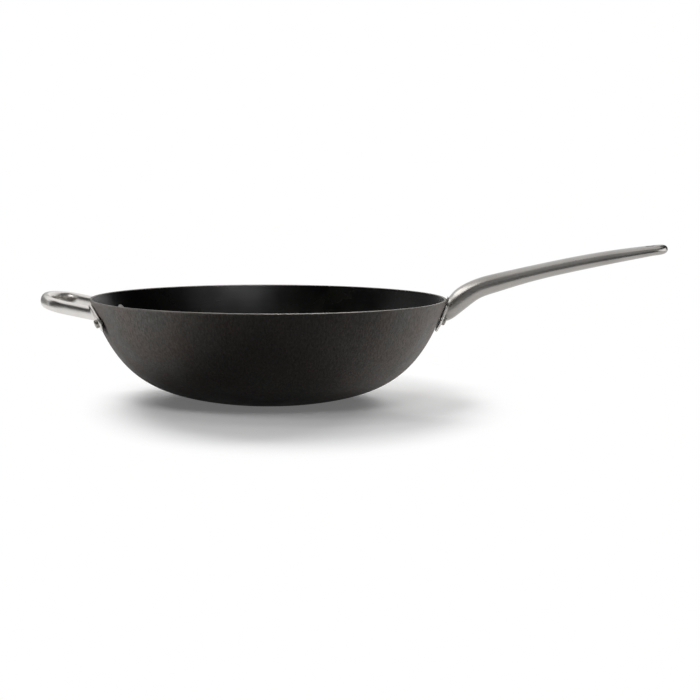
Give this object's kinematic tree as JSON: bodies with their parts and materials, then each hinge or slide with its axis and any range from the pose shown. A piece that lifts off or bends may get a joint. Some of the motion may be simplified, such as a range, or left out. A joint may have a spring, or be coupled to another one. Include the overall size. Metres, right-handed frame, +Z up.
{
  "type": "cast iron wok",
  "caption": "Round-sided cast iron wok with a small flat base, a riveted hollow steel long handle with a hanging hole, and a riveted steel helper loop opposite.",
  "frame": {"origin": "centre of the flat underside of the base, on the bowl's axis", "axes": "+X along the long handle, +Y across the wok, +Z up out of the bowl's mouth"},
  "size_m": [0.6136, 0.3496, 0.154],
  "materials": {
    "cast_iron": "seasoned, satin black inside and fine-cast brown-grey outside",
    "satin_steel": "satin stainless",
    "polished_steel": "buffed stainless",
    "rivet_steel": "stainless, tumbled"
  },
  "bodies": {
    "root": {"wok_bowl": "cast_iron", "long_handle": "satin_steel", "handle_bracket": "satin_steel", "handle_rivet_left": "rivet_steel", "handle_rivet_right": "rivet_steel", "helper_loop": "polished_steel", "helper_foot_left": "polished_steel", "helper_foot_right": "polished_steel", "helper_rivet_left": "rivet_steel", "helper_rivet_right": "rivet_steel"}
  },
  "joints": []
}
